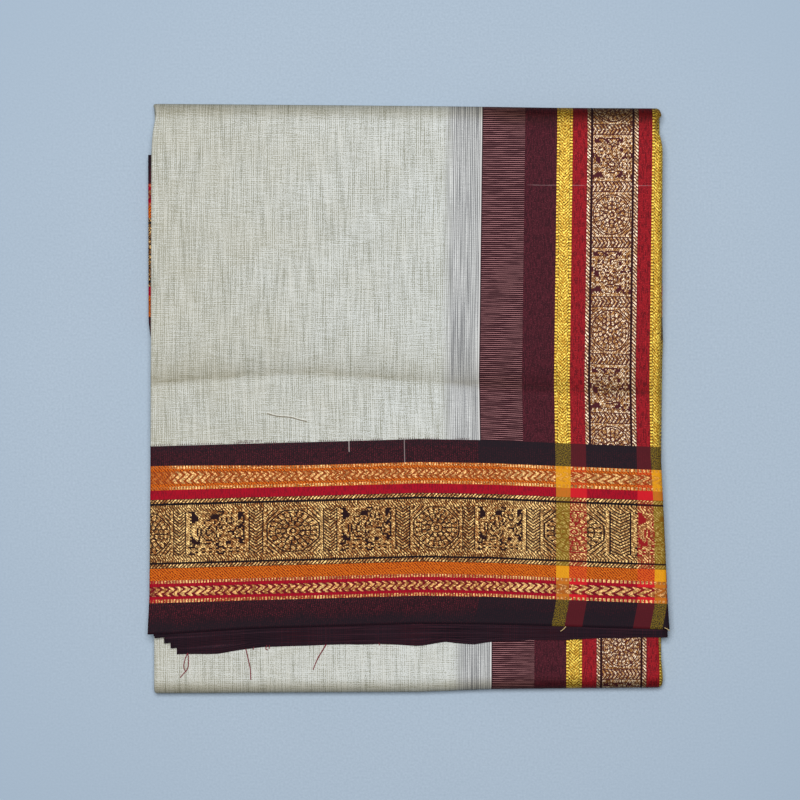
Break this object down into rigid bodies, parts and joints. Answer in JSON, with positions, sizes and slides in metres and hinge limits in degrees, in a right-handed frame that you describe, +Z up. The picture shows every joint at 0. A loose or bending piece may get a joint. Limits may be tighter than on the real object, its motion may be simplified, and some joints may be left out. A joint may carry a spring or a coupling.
{
  "type": "folded saree",
  "caption": "Silk and cotton saree with a woven gold border and end piece, folded in a flat rectangular bundle that lies on a surface.",
  "frame": {"origin": "on the surface it lies on, under the middle of the folded bundle", "axes": "+X along the cloth's length towards the end piece, +Y across its width towards the back fold, +Z up"},
  "size_m": [0.3854, 0.4355, 0.0221],
  "materials": {
    "body_cloth": "matte silk and cotton plain weave with slubs",
    "border_cloth": "maroon, crimson and orange silk with brocaded gold thread",
    "pallu_cloth": "maroon and red silk bands with brocaded gold thread",
    "selvedge_cloth": "dark maroon silk",
    "folded_layers": "edges of the folded layers"
  },
  "bodies": {
    "root": {"top_border": "border_cloth", "top_body": "body_cloth", "top_pallu": "pallu_cloth", "back_fold": "body_cloth", "floor_panel": "body_cloth", "front_fold": "body_cloth", "turned_body": "body_cloth", "turned_border": "border_cloth", "selvedge_leaf_1": "selvedge_cloth", "selvedge_leaf_2": "selvedge_cloth", "selvedge_leaf_3": "selvedge_cloth", "selvedge_leaf_4": "selvedge_cloth", "hidden_layers": "folded_layers"}
  },
  "joints": []
}
